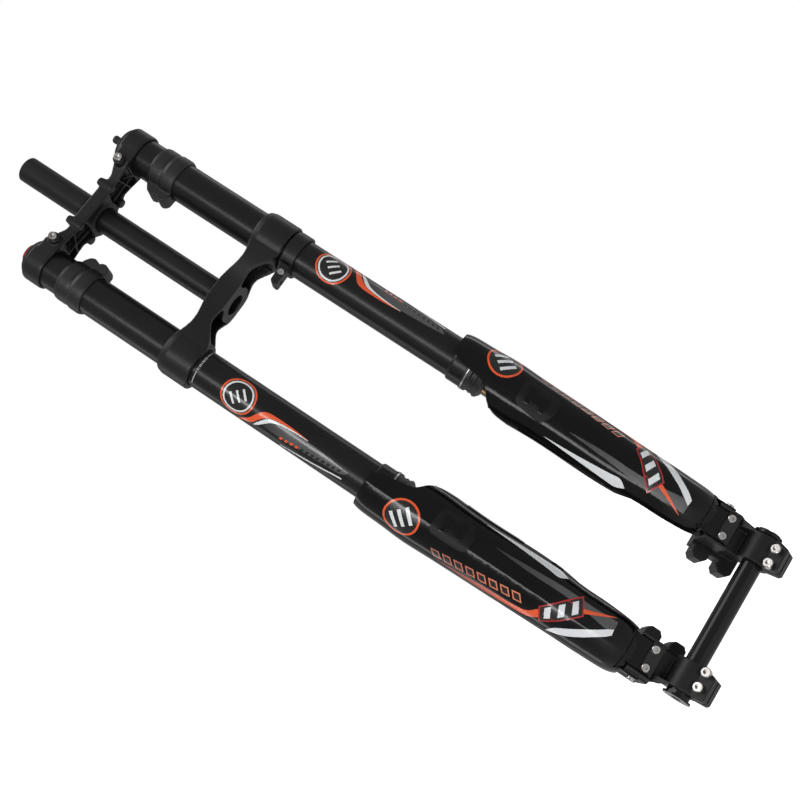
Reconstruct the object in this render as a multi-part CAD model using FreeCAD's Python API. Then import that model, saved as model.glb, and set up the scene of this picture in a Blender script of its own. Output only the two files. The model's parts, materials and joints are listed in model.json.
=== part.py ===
"""Upside-down, dual-crown suspension fork: every bench-level piece as its own solid.

Frame: origin at the crown race seat on the steerer axis, +Z up the steerer,
+X towards the left leg as the rider sees it, front of the fork facing -Y.
All lengths are millimetres.
"""
import FreeCAD, Part
import math
import os

V = FreeCAD.Vector
X_AXIS = V(1, 0, 0)
Y_AXIS = V(0, 1, 0)
Z_AXIS = V(0, 0, 1)

# ---------------------------------------------------------------- driving dimensions
LEG_X = 77.5              # half the distance between the leg axes
LEG_Y = -16.0             # leg axes stand this far ahead of the steerer axis
STEERER_R = 14.3          # 1 1/8 inch steerer
STEERER_BORE = 11.3
STEERER_TOP = 254.0
RELIEF_Z = 173.4          # the stem clamps above this height
AXLE_R = 10.0             # 20 mm through axle
HUB_GAP = 110.0           # between the dropout faces
AXLE_Y = -46.0
AXLE_Z = -597.0
FIT = 0.05                # radial running clearance
TUBE_R = 21.0             # upper tube, outside
TUBE_BORE = 19.0
TUBE_TOP = 168.0
CAP_LOW = 152.0
CAP_TOP = 175.0
COLLAR_TOP = -251.0       # seal collar at the bottom of the upper tube
COLLAR_R = 23.3
TUBE_BOTTOM = -267.0
STANCHION_R = 17.5        # 35 mm inner tube
STANCHION_BORE = 15.0
STANCHION_TOP = -108.0
STANCHION_BOTTOM = -552.0
UPPER_CROWN_LOW = 149.0
UPPER_CROWN_TOP = 171.0
UPPER_CLAMP_R = 24.0
EAR_X = 53.6              # pinch bolts of the upper crown
EAR_Z = 158.0
LOWER_CROWN_MID = -24.0   # underside at the steerer
LOWER_CLAMP_LOW = -40.0
LOWER_CLAMP_R = 26.2
GUARD_TOP = -247.0
GUARD_LOW = -545.0
GUARD_WALL = 1.7
DROPOUT_IN = HUB_GAP / 2.0
DROPOUT_OUT = 84.0
JAW_TILT = 40.0           # pinch jaws lean forward from straight down, degrees
JAW_LENGTH = 27.5
JAW_HALF = 9.3            # half the thickness of the two jaws together
JAW_SLOT = 1.6
PINCH_AT = 18.5           # pinch bolt, from the axle axis along the jaw
PINCH_X = (58.9, 74.2)
LUG_PITCH = 27.0          # caliper bracket holes
LUG_X = 46.5
LUG_Z = -559.5            # upper lug
LUG_HOLE_R = 3.0
STRAP_Z = -560.5
STRAP_X = (LEG_X - 14.0, LEG_X + 5.5)
STRAP_FRONT = LEG_Y - 24.0    # front face of the guard mount
SIDE_SCREW = (-31.0, -556.5)  # (y, z) of the screw on the outer side
WIPER_R = 24.2
GARTER_R = 0.8
GARTER_Z = TUBE_BOTTOM - 2.4
HOSE_CLAMP_TOP = -42.0
HOSE_CLAMP_LOW = -57.0
HOSE_SCREW = (47.6, -53.2)    # (x, z)
HOSE_CLAMP_FRONT = -36.5
CART_R = 13.5             # damper and air cartridges
CART_BORE = 12.0
CART_LOW = -232.0
ROD_R = 5.0
PISTON_Z = -206.0
LEFT = 1
RIGHT = -1
# Guard section stations: height, reach outwards, reach inwards and depth forwards of the
# two quarter ellipses that make the section, all from the leg axis.
GUARD_STATIONS = [
    (GUARD_TOP, 27.2, 33.5, 31.0), (-251.0, 28.4, 34.3, 32.0), (-261.0, 29.6, 35.0, 32.8),
    (-290.0, 30.6, 35.4, 33.4), (-340.0, 30.3, 35.2, 33.4), (-400.0, 28.9, 35.0, 33.2),
    (-452.0, 27.7, 34.8, 32.8), (-474.0, 27.2, 33.4, 32.4), (-510.0, 26.6, 33.0, 31.6),
    (-528.0, 26.0, 32.0, 30.6), (-539.0, 24.6, 30.2, 29.0), (GUARD_LOW, 22.4, 27.6, 26.9),
]
GUARD_BACK = 2.0          # how far the ellipses' centre lies behind the leg axis
INNER_EDGE = 11.5         # forward distance of the inner edge, upper part
INNER_EDGE_LOW = 15.5     # the same below the shoulder


# ---------------------------------------------------------------- helpers
def rod(radius, low, high, x=0.0, y=0.0):
    """Upright cylinder."""
    return Part.makeCylinder(radius, high - low, V(x, y, low), Z_AXIS)


def rod_x(radius, low, high, y, z):
    return Part.makeCylinder(radius, high - low, V(low, y, z), X_AXIS)


def rod_y(radius, low, high, x, z):
    return Part.makeCylinder(radius, high - low, V(x, low, z), Y_AXIS)


def tube(outer, inner, low, high, x=0.0, y=0.0):
    return rod(outer, low, high, x, y).cut(rod(inner, low - 1, high + 1, x, y))


def box(x0, x1, y0, y1, z0, z1):
    return Part.makeBox(x1 - x0, y1 - y0, z1 - z0, V(x0, y0, z0))


def turned(profile, x=0.0, y=0.0):
    """Solid of revolution about an upright axis; profile is (radius, height) pairs."""
    points = [V(r, 0, z) for r, z in profile]
    wire = Part.makePolygon(points + [points[0]])
    shape = Part.Face(wire).revolve(V(0, 0, 0), Z_AXIS, 360)
    shape.translate(V(x, y, 0))
    return shape


def prism_y(outline, y0, y1):
    """Outline of (x, z) pairs pushed along Y."""
    points = [V(x, y0, z) for x, z in outline]
    wire = Part.makePolygon(points + [points[0]])
    return Part.Face(wire).extrude(V(0, y1 - y0, 0))


def prism_x(outline, x0, x1):
    """Outline of (y, z) pairs pushed along X."""
    points = [V(x0, y, z) for y, z in outline]
    wire = Part.makePolygon(points + [points[0]])
    return Part.Face(wire).extrude(V(x1 - x0, 0, 0))


def prism_z(outline, z0, z1):
    """Outline of (x, y) pairs pushed along Z."""
    points = [V(x, y, z0) for x, y in outline]
    wire = Part.makePolygon(points + [points[0]])
    return Part.Face(wire).extrude(V(0, 0, z1 - z0))


def smooth_line(points):
    """Edge of one smooth curve through the points."""
    curve = Part.BSplineCurve()
    curve.interpolate(points)
    return curve.toShape()


def smooth_slab(first, second, push):
    """Slab between two smooth edges, closed by straight ends and pushed along a vector."""
    second = second[::-1]
    edges = [smooth_line(first), Part.LineSegment(first[-1], second[0]).toShape()]
    edges += [smooth_line(second), Part.LineSegment(second[-1], first[0]).toShape()]
    return Part.Face(Part.Wire(edges)).extrude(push)


def both_ways(half):
    """Points of a half outline and of its mirror image, from left to right."""
    return [(-x, other) for x, other in reversed(half[1:])] + half


def joined(shapes):
    """One solid from touching shapes."""
    result = shapes[0]
    for shape in shapes[1:]:
        result = result.fuse(shape)
    return result.removeSplitter()


def mirrored(shape):
    return shape.mirror(V(0, 0, 0), X_AXIS)


def capped_screw(at, direction, head_r, head_h, shank_r, length, socket_r):
    """Socket head cap screw whose head seats at `at` and stands out along `direction`."""
    head = Part.makeCylinder(head_r, head_h, at, direction)
    rim = [edge for edge in head.Edges if isinstance(edge.Curve, Part.Circle)]
    far = max(rim, key=lambda edge: edge.CenterOfMass.sub(at).dot(direction))
    head = head.makeChamfer(head_h * 0.15, [far])
    back = V(-direction.x, -direction.y, -direction.z)
    shank = Part.makeCylinder(shank_r, length, at, back)
    corners = []
    side = direction.cross(Z_AXIS)
    if side.Length < 0.1:
        side = direction.cross(X_AXIS)
    side.normalize()
    up = direction.cross(side)
    top = at.add(V(direction.x * head_h, direction.y * head_h, direction.z * head_h))
    for step in range(6):
        angle = math.radians(60 * step)
        out_side = side * (socket_r * math.cos(angle))
        out_up = up * (socket_r * math.sin(angle))
        corners.append(top.add(out_side).add(out_up))
    hexagon = Part.Face(Part.makePolygon(corners + [corners[0]]))
    socket = hexagon.extrude(back * (head_h * 0.6))
    return head.fuse(shank).cut(socket)


parts = {}


def leg_pair(name, shape):
    """Store a piece modelled on the left leg and its mirror image on the right."""
    parts[name + "_left"] = shape
    parts[name + "_right"] = mirrored(shape)


# ---------------------------------------------------------------- steerer and crowns
def steerer_tube():
    shape = tube(STEERER_R, STEERER_BORE, LOWER_CROWN_MID + 4, STEERER_TOP)
    ends = [e for e in shape.Edges if abs(e.CenterOfMass.z - STEERER_TOP) < 0.01]
    shape = shape.makeChamfer(0.6, ends)
    # shallow relief that ends the clamping length of the free end
    return shape.cut(tube(STEERER_R + 1, STEERER_R - 0.25, RELIEF_Z - 1.2, RELIEF_Z))


def lower_clamp():
    profile = [
        (0, -2), (22.2, -2), (24.6, -4.5), (LOWER_CLAMP_R, -10),
        (LOWER_CLAMP_R, LOWER_CLAMP_LOW + 1), (LOWER_CLAMP_R - 1, LOWER_CLAMP_LOW),
        (0, LOWER_CLAMP_LOW),
    ]
    return turned(profile, LEG_X, LEG_Y)


def lower_crown():
    """Forged bridge: thick leg clamps that hang below a waisted, pocketed centre."""
    front = LEG_Y - 22
    roof = [(0, -1), (20, -3), (36, -7.5), (52, -7.5), (66, -4), (LEG_X, -4)]
    belly = [(0, LOWER_CROWN_MID), (20, -24), (34, -24.5), (44, -31), (54, -37.5), (LEG_X, -40)]
    slab = smooth_slab(
        [V(x, front, z) for x, z in both_ways(roof)],
        [V(x, front, z) for x, z in both_ways(belly)],
        V(0, 22 - front, 0),
    )
    nose = [(0, -27), (18, -28), (36, -33), (56, -37), (LEG_X, -38)]
    back = [(0, 22), (16, 20), (29, 10), (44, 1.5), (58, -1), (LEG_X, 2)]
    plan = smooth_slab(
        [V(x, y, -60) for x, y in both_ways(nose)],
        [V(x, y, -60) for x, y in both_ways(back)],
        V(0, 0, 70),
    )
    body = slab.common(plan)
    pocket = prism_z([(16, -23), (48, -31.5), (58, -16), (51, -4), (44, -2), (29, 5.5), (18, 14)], -60, -12)
    for shape in (pocket, mirrored(pocket)):
        body = body.cut(shape)
    boss = turned([(0, -24), (22, -24), (22, -3), (18, 0), (0, 0)])
    solids = [body, boss, lower_clamp(), mirrored(lower_clamp())]
    for y in (-22.5, -13.5):
        rib = box(43, 58, y - 1, y + 1, -26, -10)
        solids.extend([rib, mirrored(rib)])
    # lugs at the back of the leg clamps
    for side in (LEFT, RIGHT):
        x = side * LEG_X
        solids.append(box(x - 9, x + 9, LEG_Y + 12, LEG_Y + 35, -38, -6))
    body = joined(solids)
    # ring groove and steerer hole in the underside
    groove = tube(17.6, 16.4, LOWER_CROWN_MID - 1, LOWER_CROWN_MID + 2)
    body = body.cut(groove).cut(rod(STEERER_R, LOWER_CROWN_MID + 4, 2))
    body = body.cut(rod(STEERER_R - 2.2, LOWER_CROWN_MID - 1, LOWER_CROWN_MID + 5))
    for side in (LEFT, RIGHT):
        x = side * LEG_X
        body = body.cut(rod(TUBE_R, -60, 10, x, LEG_Y))
        body = body.cut(box(x - 1.0, x + 1.0, 0, 40, -60, 10))
        for z in (-14, -30):
            body = body.cut(rod_x(2.55, x - 12, x + 12, LEG_Y + 30, z))
    return body


def upper_crown():
    """Light top bridge: waisted, open below with thin ribs, split at each tube and the steerer."""
    low = UPPER_CROWN_LOW
    plan_half = [
        (0, -29), (22, -29.5), (34, -31), (48, -35.5), (58, -39), (LEG_X, -39),
        (LEG_X, 6), (60, 5.5), (46, 2.5), (36, 1), (22, 9), (14, 16), (0, 20),
    ]
    plan = plan_half + [(-x, y) for x, y in reversed(plan_half[1:-1])]
    front_half = [
        (0, low + 14), (21, low + 14), (22, low + 17.5), (30, low + 17.5), (31.5, low + 11),
        (38, low + 10.5), (48, low + 14), (57, low + 18.5), (LEG_X, low + 18.5),
        (LEG_X, low), (0, low),
    ]
    front = front_half + [(-x, z) for x, z in reversed(front_half[1:-1])]
    arms = prism_z(plan, low - 5, low + 30).common(prism_y(front, -60, 40))
    pocket = prism_z([
        (20, -26), (34, -28), (46, -32), (53, -33), (56, 2), (46, -0.5), (35, -2), (24, 4), (16, 10),
    ], low - 5, low + 6.5)
    for shape in (pocket, mirrored(pocket)):
        arms = arms.cut(shape)
    solids = [arms, rod(20.5, low, low + 14), rod(20.0, low - 1.5, low)]
    rib = prism_z([(20, -8), (22, -10), (56, -14), (56, -12)], low, low + 8)
    cross = prism_z([(36, -30), (38, -30), (47, 1), (45, 1)], low, low + 8)
    solids.extend([rib, mirrored(rib), cross, mirrored(cross)])
    for side in (LEFT, RIGHT):
        clamp = rod(UPPER_CLAMP_R, low, UPPER_CROWN_TOP, side * LEG_X, LEG_Y)
        rims = [e for e in clamp.Edges if isinstance(e.Curve, Part.Circle)]
        solids.append(clamp.makeFillet(2.0, rims))
        solids.append(rod_y(6.2, -44, -8, side * EAR_X, EAR_Z))
        solids.append(rod(5.0, low - 2.5, low + 13, side * 26, 5))
        solids.append(rod(4.2, low, low + 18.5, side * 26, -27.5))
    body = joined(solids)
    body = body.cut(rod(STEERER_R, 100, 200))
    for side in (LEFT, RIGHT):
        body = body.cut(rod(TUBE_R, 100, 200, side * LEG_X, LEG_Y))
        body = body.cut(rod_y(2.55, -60, -8, side * EAR_X, EAR_Z))
        inner, outer = sorted((side * 47.5, side * 60))
        body = body.cut(box(inner, outer, -30.2, -29.0, 140, 180))
    body = body.cut(box(-0.8, 0.8, 12, 40, 130, 180))
    return body.cut(rod_x(2.05, -12, 12, 17.3, low + 7))


def upper_crown_bolts():
    bolts = []
    for side in (LEFT, RIGHT):
        at = V(side * EAR_X, -44, EAR_Z)
        bolts.append(capped_screw(at, V(0, -1, 0), 4.25, 4.6, 2.5, 26, 2.3))
    return Part.makeCompound(bolts)


def lower_crown_bolts():
    bolts = []
    for side in (LEFT, RIGHT):
        for z in (-14, -30):
            at = V(side * (LEG_X - 9), LEG_Y + 30, z)
            bolts.append(capped_screw(at, V(-side, 0, 0), 4.25, 4.6, 2.5, 17.5, 2.3))
    return Part.makeCompound(bolts)


# ---------------------------------------------------------------- upper legs
def upper_tube():
    """Fat upper leg tube with a thicker seal collar at its foot."""
    return turned([
        (TUBE_BORE, TUBE_TOP), (TUBE_R, TUBE_TOP), (TUBE_R, COLLAR_TOP + 1.5),
        (COLLAR_R, COLLAR_TOP - 1.0), (COLLAR_R, TUBE_BOTTOM), (TUBE_R, TUBE_BOTTOM),
        (TUBE_R, TUBE_BOTTOM + 12), (TUBE_BORE, TUBE_BOTTOM + 12),
    ], LEG_X, LEG_Y)


def bushing():
    return tube(TUBE_BORE, STANCHION_R + FIT, -235, -205, LEG_X, LEG_Y)


def slide_bush():
    return tube(TUBE_BORE - FIT, STANCHION_R, -142, -114, LEG_X, LEG_Y)


def oil_seal():
    seat = TUBE_BOTTOM + 12
    return turned([
        (TUBE_R, seat - 1), (TUBE_R, TUBE_BOTTOM + 1), (STANCHION_R + 2, TUBE_BOTTOM + 1),
        (STANCHION_R + FIT, TUBE_BOTTOM + 4), (STANCHION_R + FIT, TUBE_BOTTOM + 5.5),
        (STANCHION_R + 1.5, TUBE_BOTTOM + 8), (STANCHION_R + 1.5, seat - 1),
    ], LEG_X, LEG_Y)


def wiper():
    """Dust wiper under the collar, with a spring groove, a rib and a flared lip."""
    low = TUBE_BOTTOM
    shape = turned([
        (STANCHION_R + 1.2, low), (WIPER_R - 0.2, low), (WIPER_R, low - 6.5),
        (22.4, low - 8.5), (22.4, low - 10.5), (23.2, low - 11.5), (23.2, low - 13),
        (22.4, low - 14), (24.2, low - 17.5), (23.4, low - 20), (19.4, low - 23.5),
        (STANCHION_R + FIT, low - 24), (STANCHION_R + FIT, low - 22.5),
        (STANCHION_R + 1.2, low - 20),
    ], LEG_X, LEG_Y)
    ring = Part.makeTorus(WIPER_R - 0.3, GARTER_R, V(LEG_X, LEG_Y, GARTER_Z), Z_AXIS)
    return shape.cut(ring)


def wiper_spring():
    return Part.makeTorus(WIPER_R - 0.3, GARTER_R, V(LEG_X, LEG_Y, GARTER_Z), Z_AXIS)


def top_cap():
    return turned([
        (0, CAP_LOW), (TUBE_BORE, CAP_LOW), (TUBE_BORE, TUBE_TOP), (TUBE_R - 0.5, TUBE_TOP),
        (TUBE_R - 0.5, CAP_TOP - 1.5), (TUBE_R - 2, CAP_TOP), (0, CAP_TOP),
    ], LEG_X, LEG_Y)


def bumper():
    """Rubber stop ring with two ridges and a padded lobe towards the frame."""
    ring = turned([
        (TUBE_R, 130.5), (22.6, 130), (23.4, 127), (23.4, 117), (22.6, 114.5),
        (24.2, 111), (24.2, 101), (22.8, 98), (TUBE_R, 97.5),
    ], LEG_X, LEG_Y)
    lobe = prism_y([
        (LEG_X - 17, 128), (LEG_X - 25, 125.5), (LEG_X - 30.5, 121.5), (LEG_X - 32.4, 117),
        (LEG_X - 31.2, 113), (LEG_X - 29.4, 110.8), (LEG_X - 32, 108), (LEG_X - 33.2, 104),
        (LEG_X - 31.4, 100.4), (LEG_X - 28, 98), (LEG_X - 17, 97.6),
    ], LEG_Y - 9.5, LEG_Y + 12)
    vertical = [e for e in lobe.Edges if abs(e.tangentAt(e.FirstParameter).y) > 0.99]
    lobe = lobe.makeFillet(1.2, vertical[1:-1])
    shape = joined([ring, lobe])
    return shape.cut(rod(TUBE_R, 90, 140, LEG_X, LEG_Y))


def hose_clamp():
    """Split ring that keeps the brake hose off the tyre, on the left tube only."""
    ring = rod(24.2, HOSE_CLAMP_LOW, HOSE_CLAMP_TOP, LEG_X, LEG_Y)
    block = prism_y([
        (58, -44), (50, -47.5), (36, -48.5), (33.8, -50.5), (33.2, HOSE_CLAMP_LOW + 1.5),
        (34.6, HOSE_CLAMP_LOW), (58, HOSE_CLAMP_LOW),
    ], HOSE_CLAMP_FRONT, -19)
    body = joined([ring, block]).cut(rod(TUBE_R, -80, -20, LEG_X, LEG_Y))
    body = body.cut(rod_y(1.65, -60, -15, *HOSE_SCREW))
    # round channel that the brake hose lies in
    return body.cut(rod(2.5, -80, -40, 41, -26))


def hose_clamp_screw():
    at = V(HOSE_SCREW[0], HOSE_CLAMP_FRONT, HOSE_SCREW[1])
    return capped_screw(at, V(0, -1, 0), 3.4, 2.6, 1.6, 14, 1.5)


# ---------------------------------------------------------------- cartridges
def cartridge():
    return tube(CART_R, CART_BORE, CART_LOW, CAP_LOW, LEG_X, LEG_Y)


def rod_guide():
    """Seal head that closes the bottom of a cartridge and guides its rod."""
    return tube(CART_BORE, ROD_R + FIT, CART_LOW, CART_LOW + 14, LEG_X, LEG_Y)


def topout_spring():
    low = CART_LOW + 14.8
    helix = Part.makeHelix(2.6, 7.8, 8.5)
    helix.translate(V(LEG_X, LEG_Y, low))
    section = Part.makeCircle(0.7, V(LEG_X + 8.5, LEG_Y, low), Y_AXIS)
    return Part.Wire(helix.Edges).makePipeShell([Part.Wire(section)], True, True)


def piston():
    """Piston head with a groove for its band."""
    return turned([
        (ROD_R - 1, PISTON_Z), (CART_BORE - FIT, PISTON_Z), (CART_BORE - FIT, PISTON_Z + 5),
        (CART_BORE - 1, PISTON_Z + 5), (CART_BORE - 1, PISTON_Z + 8),
        (CART_BORE - FIT, PISTON_Z + 8), (CART_BORE - FIT, PISTON_Z + 13),
        (ROD_R - 1, PISTON_Z + 13),
    ], LEG_X, LEG_Y)


def piston_rod():
    return turned([
        (0, STANCHION_BOTTOM + 8), (ROD_R, STANCHION_BOTTOM + 8), (ROD_R, PISTON_Z),
        (ROD_R - 1, PISTON_Z), (ROD_R - 1, PISTON_Z + 16), (0, PISTON_Z + 16),
    ], LEG_X, LEG_Y)


# ---------------------------------------------------------------- lower legs
def stanchion():
    return tube(STANCHION_R, STANCHION_BORE, STANCHION_BOTTOM, STANCHION_TOP, LEG_X, LEG_Y)


def jaw_point(along, across):
    """(y, z) of a point in the pinch jaw: `along` it from the axle, `across` the slot."""
    tilt = math.radians(JAW_TILT)
    y = AXLE_Y - along * math.sin(tilt) - across * math.cos(tilt)
    z = AXLE_Z - along * math.cos(tilt) + across * math.sin(tilt)
    return y, z


def jaw_slab(along0, along1, across0, across1, x0, x1):
    corners = [
        jaw_point(along0, across0), jaw_point(along1, across0),
        jaw_point(along1, across1), jaw_point(along0, across1),
    ]
    return prism_x(corners, x0, x1)


def dropout(side):
    """Forged lower end: stanchion socket, guard mount, axle clamp and caliper lugs."""
    socket = rod(20.2, -565, -531, LEG_X, LEG_Y)
    top = GUARD_LOW - 0.5
    block = box(LEG_X - 20, LEG_X + 17, STRAP_FRONT, LEG_Y + 17, -571, top)
    edges = [e for e in block.Edges if abs(e.tangentAt(e.FirstParameter).z) > 0.99]
    block = block.makeChamfer(4, edges)
    rails = [
        box(LEG_X - 23, LEG_X - 20.2, STRAP_FRONT - 3, LEG_Y + 4, -571, top),
        box(LEG_X + 11.5, LEG_X + 14, STRAP_FRONT - 3, STRAP_FRONT + 6, -571, top),
        box(LEG_X - 21, LEG_X - 19.8, STRAP_FRONT + 3, LEG_Y + 4, -571, top),
    ]
    neck = prism_x([
        (LEG_Y - 17, -569), (LEG_Y + 6, -560), (LEG_Y + 2, -590), (AXLE_Y + 10, AXLE_Z - 12),
        (AXLE_Y - 14, AXLE_Z), (AXLE_Y - 12, AXLE_Z + 10), (LEG_Y - 17, -583),
    ], LEG_X - 20, LEG_X + 17)
    outer_rail = prism_x([
        (LEG_Y - 23, -569), (LEG_Y - 10, -560), (AXLE_Y + 10, AXLE_Z), (AXLE_Y - 12, AXLE_Z + 10),
    ], LEG_X + 5, LEG_X + 17)
    side_view = prism_y([
        (LEG_X - 20, -555), (LEG_X + 14, -555), (LEG_X + 13, -572), (LEG_X + 8.5, -581.5),
        (DROPOUT_OUT, -583), (DROPOUT_OUT, -620), (LEG_X - 20, -620),
    ], -100, 50)
    neck = neck.fuse(outer_rail).common(side_view)
    boss = rod_x(15.6, DROPOUT_IN, DROPOUT_OUT, AXLE_Y, AXLE_Z)
    web = box(LEG_X - 27, LEG_X - 6, -9, 10, LUG_Z - LUG_PITCH - 8.5, -547)
    rear_wall = box(LEG_X - 20, LEG_X + 6, -14, 6, LUG_Z - LUG_PITCH - 2, -560)
    shapes = [socket, block, neck, boss, jaws(side), web, rear_wall] + rails
    for step in (0, 1):
        z = LUG_Z - step * LUG_PITCH
        lug = prism_y([
            (LEG_X - 20, z + 8.5), (LEG_X - 33, z + 8.5), (LEG_X - 37.5, z + 4.5),
            (LEG_X - 37.5, z - 4.5), (LEG_X - 33, z - 8.5), (LEG_X - 20, z - 8.5),
        ], -9, 14)
        shapes.append(lug)
    body = joined(shapes)
    body = body.cut(rod(STANCHION_R, STANCHION_BOTTOM, -500, LEG_X, LEG_Y))
    body = body.cut(rod(4.05, -620, -500, LEG_X, LEG_Y))
    body = body.cut(rod(8.0, -640, -572, LEG_X, LEG_Y))
    body = body.cut(rod_x(AXLE_R + FIT, 40, 100, AXLE_Y, AXLE_Z))
    body = body.cut(jaw_slab(0, 40, -JAW_SLOT / 2, JAW_SLOT / 2, 40, 100))
    groove = jaw_slab(JAW_LENGTH - 1.2, 40, 4.6, 5.6, 40, 100)
    body = body.cut(groove)
    for x in PINCH_X:
        hole_y, hole_z = jaw_point(PINCH_AT, -JAW_HALF - 1)
        hole = Part.makeCylinder(3.05, 2 * JAW_HALF + 4, V(x, hole_y, hole_z), jaw_direction())
        body = body.cut(hole)
    for step in (0, 1):
        body = body.cut(rod_y(LUG_HOLE_R, -4, 20, LUG_X, LUG_Z - step * LUG_PITCH))
    for x in STRAP_X:
        body = body.cut(rod_y(2.05, -60, -28, x, STRAP_Z))
    return body.cut(rod_x(2.05, LEG_X + 8, LEG_X + 30, SIDE_SCREW[0], SIDE_SCREW[1]))


def jaws(side):
    """Both pinch jaws as one block, with the end corner nearer the left side cut back more."""
    long_cut, short_cut = (10.0, 4.5), (2.6, 2.2)
    outer, inner = (long_cut, short_cut) if side == LEFT else (short_cut, long_cut)
    outline = [
        (0, DROPOUT_IN), (JAW_LENGTH - inner[0], DROPOUT_IN), (JAW_LENGTH, DROPOUT_IN + inner[1]),
        (JAW_LENGTH, DROPOUT_OUT - outer[1]), (JAW_LENGTH - outer[0], DROPOUT_OUT), (0, DROPOUT_OUT),
    ]
    points = []
    for along, x in outline:
        y, z = jaw_point(along, -JAW_HALF)
        points.append(V(x, y, z))
    face = Part.Face(Part.makePolygon(points + [points[0]]))
    return face.extrude(jaw_direction() * (2 * JAW_HALF))


def jaw_direction():
    tilt = math.radians(JAW_TILT)
    return V(0, -math.cos(tilt), math.sin(tilt))


def axle_pinch_bolts():
    bolts = []
    for side in (LEFT, RIGHT):
        for x in PINCH_X:
            y, z = jaw_point(PINCH_AT, JAW_HALF)
            at = V(side * x, y, z)
            bolts.append(capped_screw(at, jaw_direction(), 4.9, 5.6, 3.0, 2 * JAW_HALF, 2.6))
    return Part.makeCompound(bolts)


def guard_strap(side):
    """Clamping plate; its lower corner towards the right of the fork runs to a point."""
    low, high = STRAP_Z - 8.0, STRAP_Z + 4.2
    left_end, right_end = STRAP_X[1] + 5.5, STRAP_X[0] - 6.0
    if side == RIGHT:
        left_end, right_end = STRAP_X[0] - 6.0, STRAP_X[1] + 5.5
    toward = 1 if left_end > right_end else -1
    plate = prism_y([
        (right_end, low), (left_end, low), (left_end, high),
        (right_end + toward * 2, high), (right_end + toward * 2, low + 4),
    ], STRAP_FRONT - 3.4, STRAP_FRONT - 1.8)
    for x in STRAP_X:
        plate = plate.cut(rod_y(2.05, -60, -30, x, STRAP_Z))
    return plate


def guard_screws():
    screws = []
    for side in (LEFT, RIGHT):
        for x in STRAP_X:
            at = V(side * x, STRAP_FRONT - 3.4, STRAP_Z)
            screws.append(capped_screw(at, V(0, -1, 0), 3.9, 3.0, 2.0, 14, 1.9))
        at = V(side * (LEG_X + 17 + 1.6), SIDE_SCREW[0], SIDE_SCREW[1])
        screws.append(capped_screw(at, V(side, 0, 0), 3.9, 2.6, 2.0, 9, 1.9))
    return Part.makeCompound(screws)


def quarter(z, reach, depth, side):
    """Quarter ellipse from the side (reach) round to the front (depth)."""
    centre = V(LEG_X, LEG_Y + GUARD_BACK, z)
    points = []
    steps = 6
    for step in range(steps + 1):
        angle = math.pi / 2 * step / steps
        points.append(centre.add(V(side * reach * math.cos(angle), -depth * math.sin(angle), 0)))
    curve = Part.BSplineCurve()
    curve.interpolate(points, InitialTangent=V(0, -1, 0), FinalTangent=V(-side, 0, 0))
    return curve.toShape(), points


def guard_section(station, inset):
    """Outer quarter and inner quarter of the section, as edges, with their end points."""
    z, out_reach, in_reach, depth = station
    first, first_points = quarter(z, out_reach - inset, depth + GUARD_BACK - inset, 1)
    second, second_points = quarter(z, in_reach - inset, depth + GUARD_BACK - inset, -1)
    return first, second, first_points[0], second_points[0]


def guard():
    """Moulded leg guard: a fairing round the front with a cut-out at its inner top."""
    outer_wires = []
    inner_wires = []
    for station in GUARD_STATIONS:
        for wires, inset in ((outer_wires, 0.0), (inner_wires, GUARD_WALL)):
            first, second, start, end = guard_section(station, inset)
            closing = Part.LineSegment(end, start).toShape()
            wires.append(Part.Wire([first, second, closing]))
    shell = Part.makeLoft(outer_wires, True, False)
    hollow = Part.makeLoft(inner_wires, True, False)
    shell = shell.cut(hollow)
    back = LEG_Y - INNER_EDGE
    low_back = LEG_Y - INNER_EDGE_LOW
    edge = prism_x([
        (60, -200), (back, -200), (back, -455), (low_back, -471), (low_back, -536),
        (low_back + 3, -560), (60, -560),
    ], LEG_X - 60, LEG_X - 8)
    rear = box(LEG_X - 10, LEG_X + 60, LEG_Y + 1.5, 60, -560, -200)
    shell = shell.cut(edge).cut(rear)
    cut_points = [
        (-5, GUARD_TOP + 3), (-5.4, -250), (-8.5, -259), (-11, -272), (-13.5, -286), (-18, -293.5),
        (-24, -298.5), (-29, -305.5), (-32, -317), (-33, -330), (-36, -345),
    ]
    curve = Part.BSplineCurve()
    curve.interpolate([V(LEG_X + t, LEG_Y - 60, z) for t, z in cut_points])
    start = V(LEG_X + cut_points[0][0], LEG_Y - 60, cut_points[0][1])
    end = V(LEG_X + cut_points[-1][0], LEG_Y - 60, cut_points[-1][1])
    corner_low = V(LEG_X - 60, LEG_Y - 60, end.z)
    corner_high = V(LEG_X - 60, LEG_Y - 60, start.z)
    sides = [Part.LineSegment(end, corner_low), Part.LineSegment(corner_low, corner_high)]
    sides.append(Part.LineSegment(corner_high, start))
    outline = Part.Wire([curve.toShape()] + [line.toShape() for line in sides])
    shell = shell.cut(Part.Face(outline).extrude(V(0, 100, 0)))
    tab = box(LEG_X - 19, LEG_X + 10, STRAP_FRONT - 1.8, STRAP_FRONT, -569, -536)
    for x in STRAP_X:
        tab = tab.cut(rod_y(2.05, -60, -30, x, STRAP_Z))
    side_y = SIDE_SCREW[0]
    side_tab = box(LEG_X + 17, LEG_X + 18.6, side_y - 5, side_y + 4, -562, -538)
    side_tab = side_tab.cut(rod_x(2.05, LEG_X + 8, LEG_X + 30, *SIDE_SCREW))
    fill = Part.makeLoft(outer_wires, True, False)
    foot = box(LEG_X - 19, LEG_X + 10, -60, STRAP_FRONT, -542, -538).common(fill)
    side_foot = box(LEG_X + 17, LEG_X + 30, side_y - 5, side_y + 4, -542, -538).common(fill)
    return joined([shell, tab, foot, side_foot, side_tab])


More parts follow.
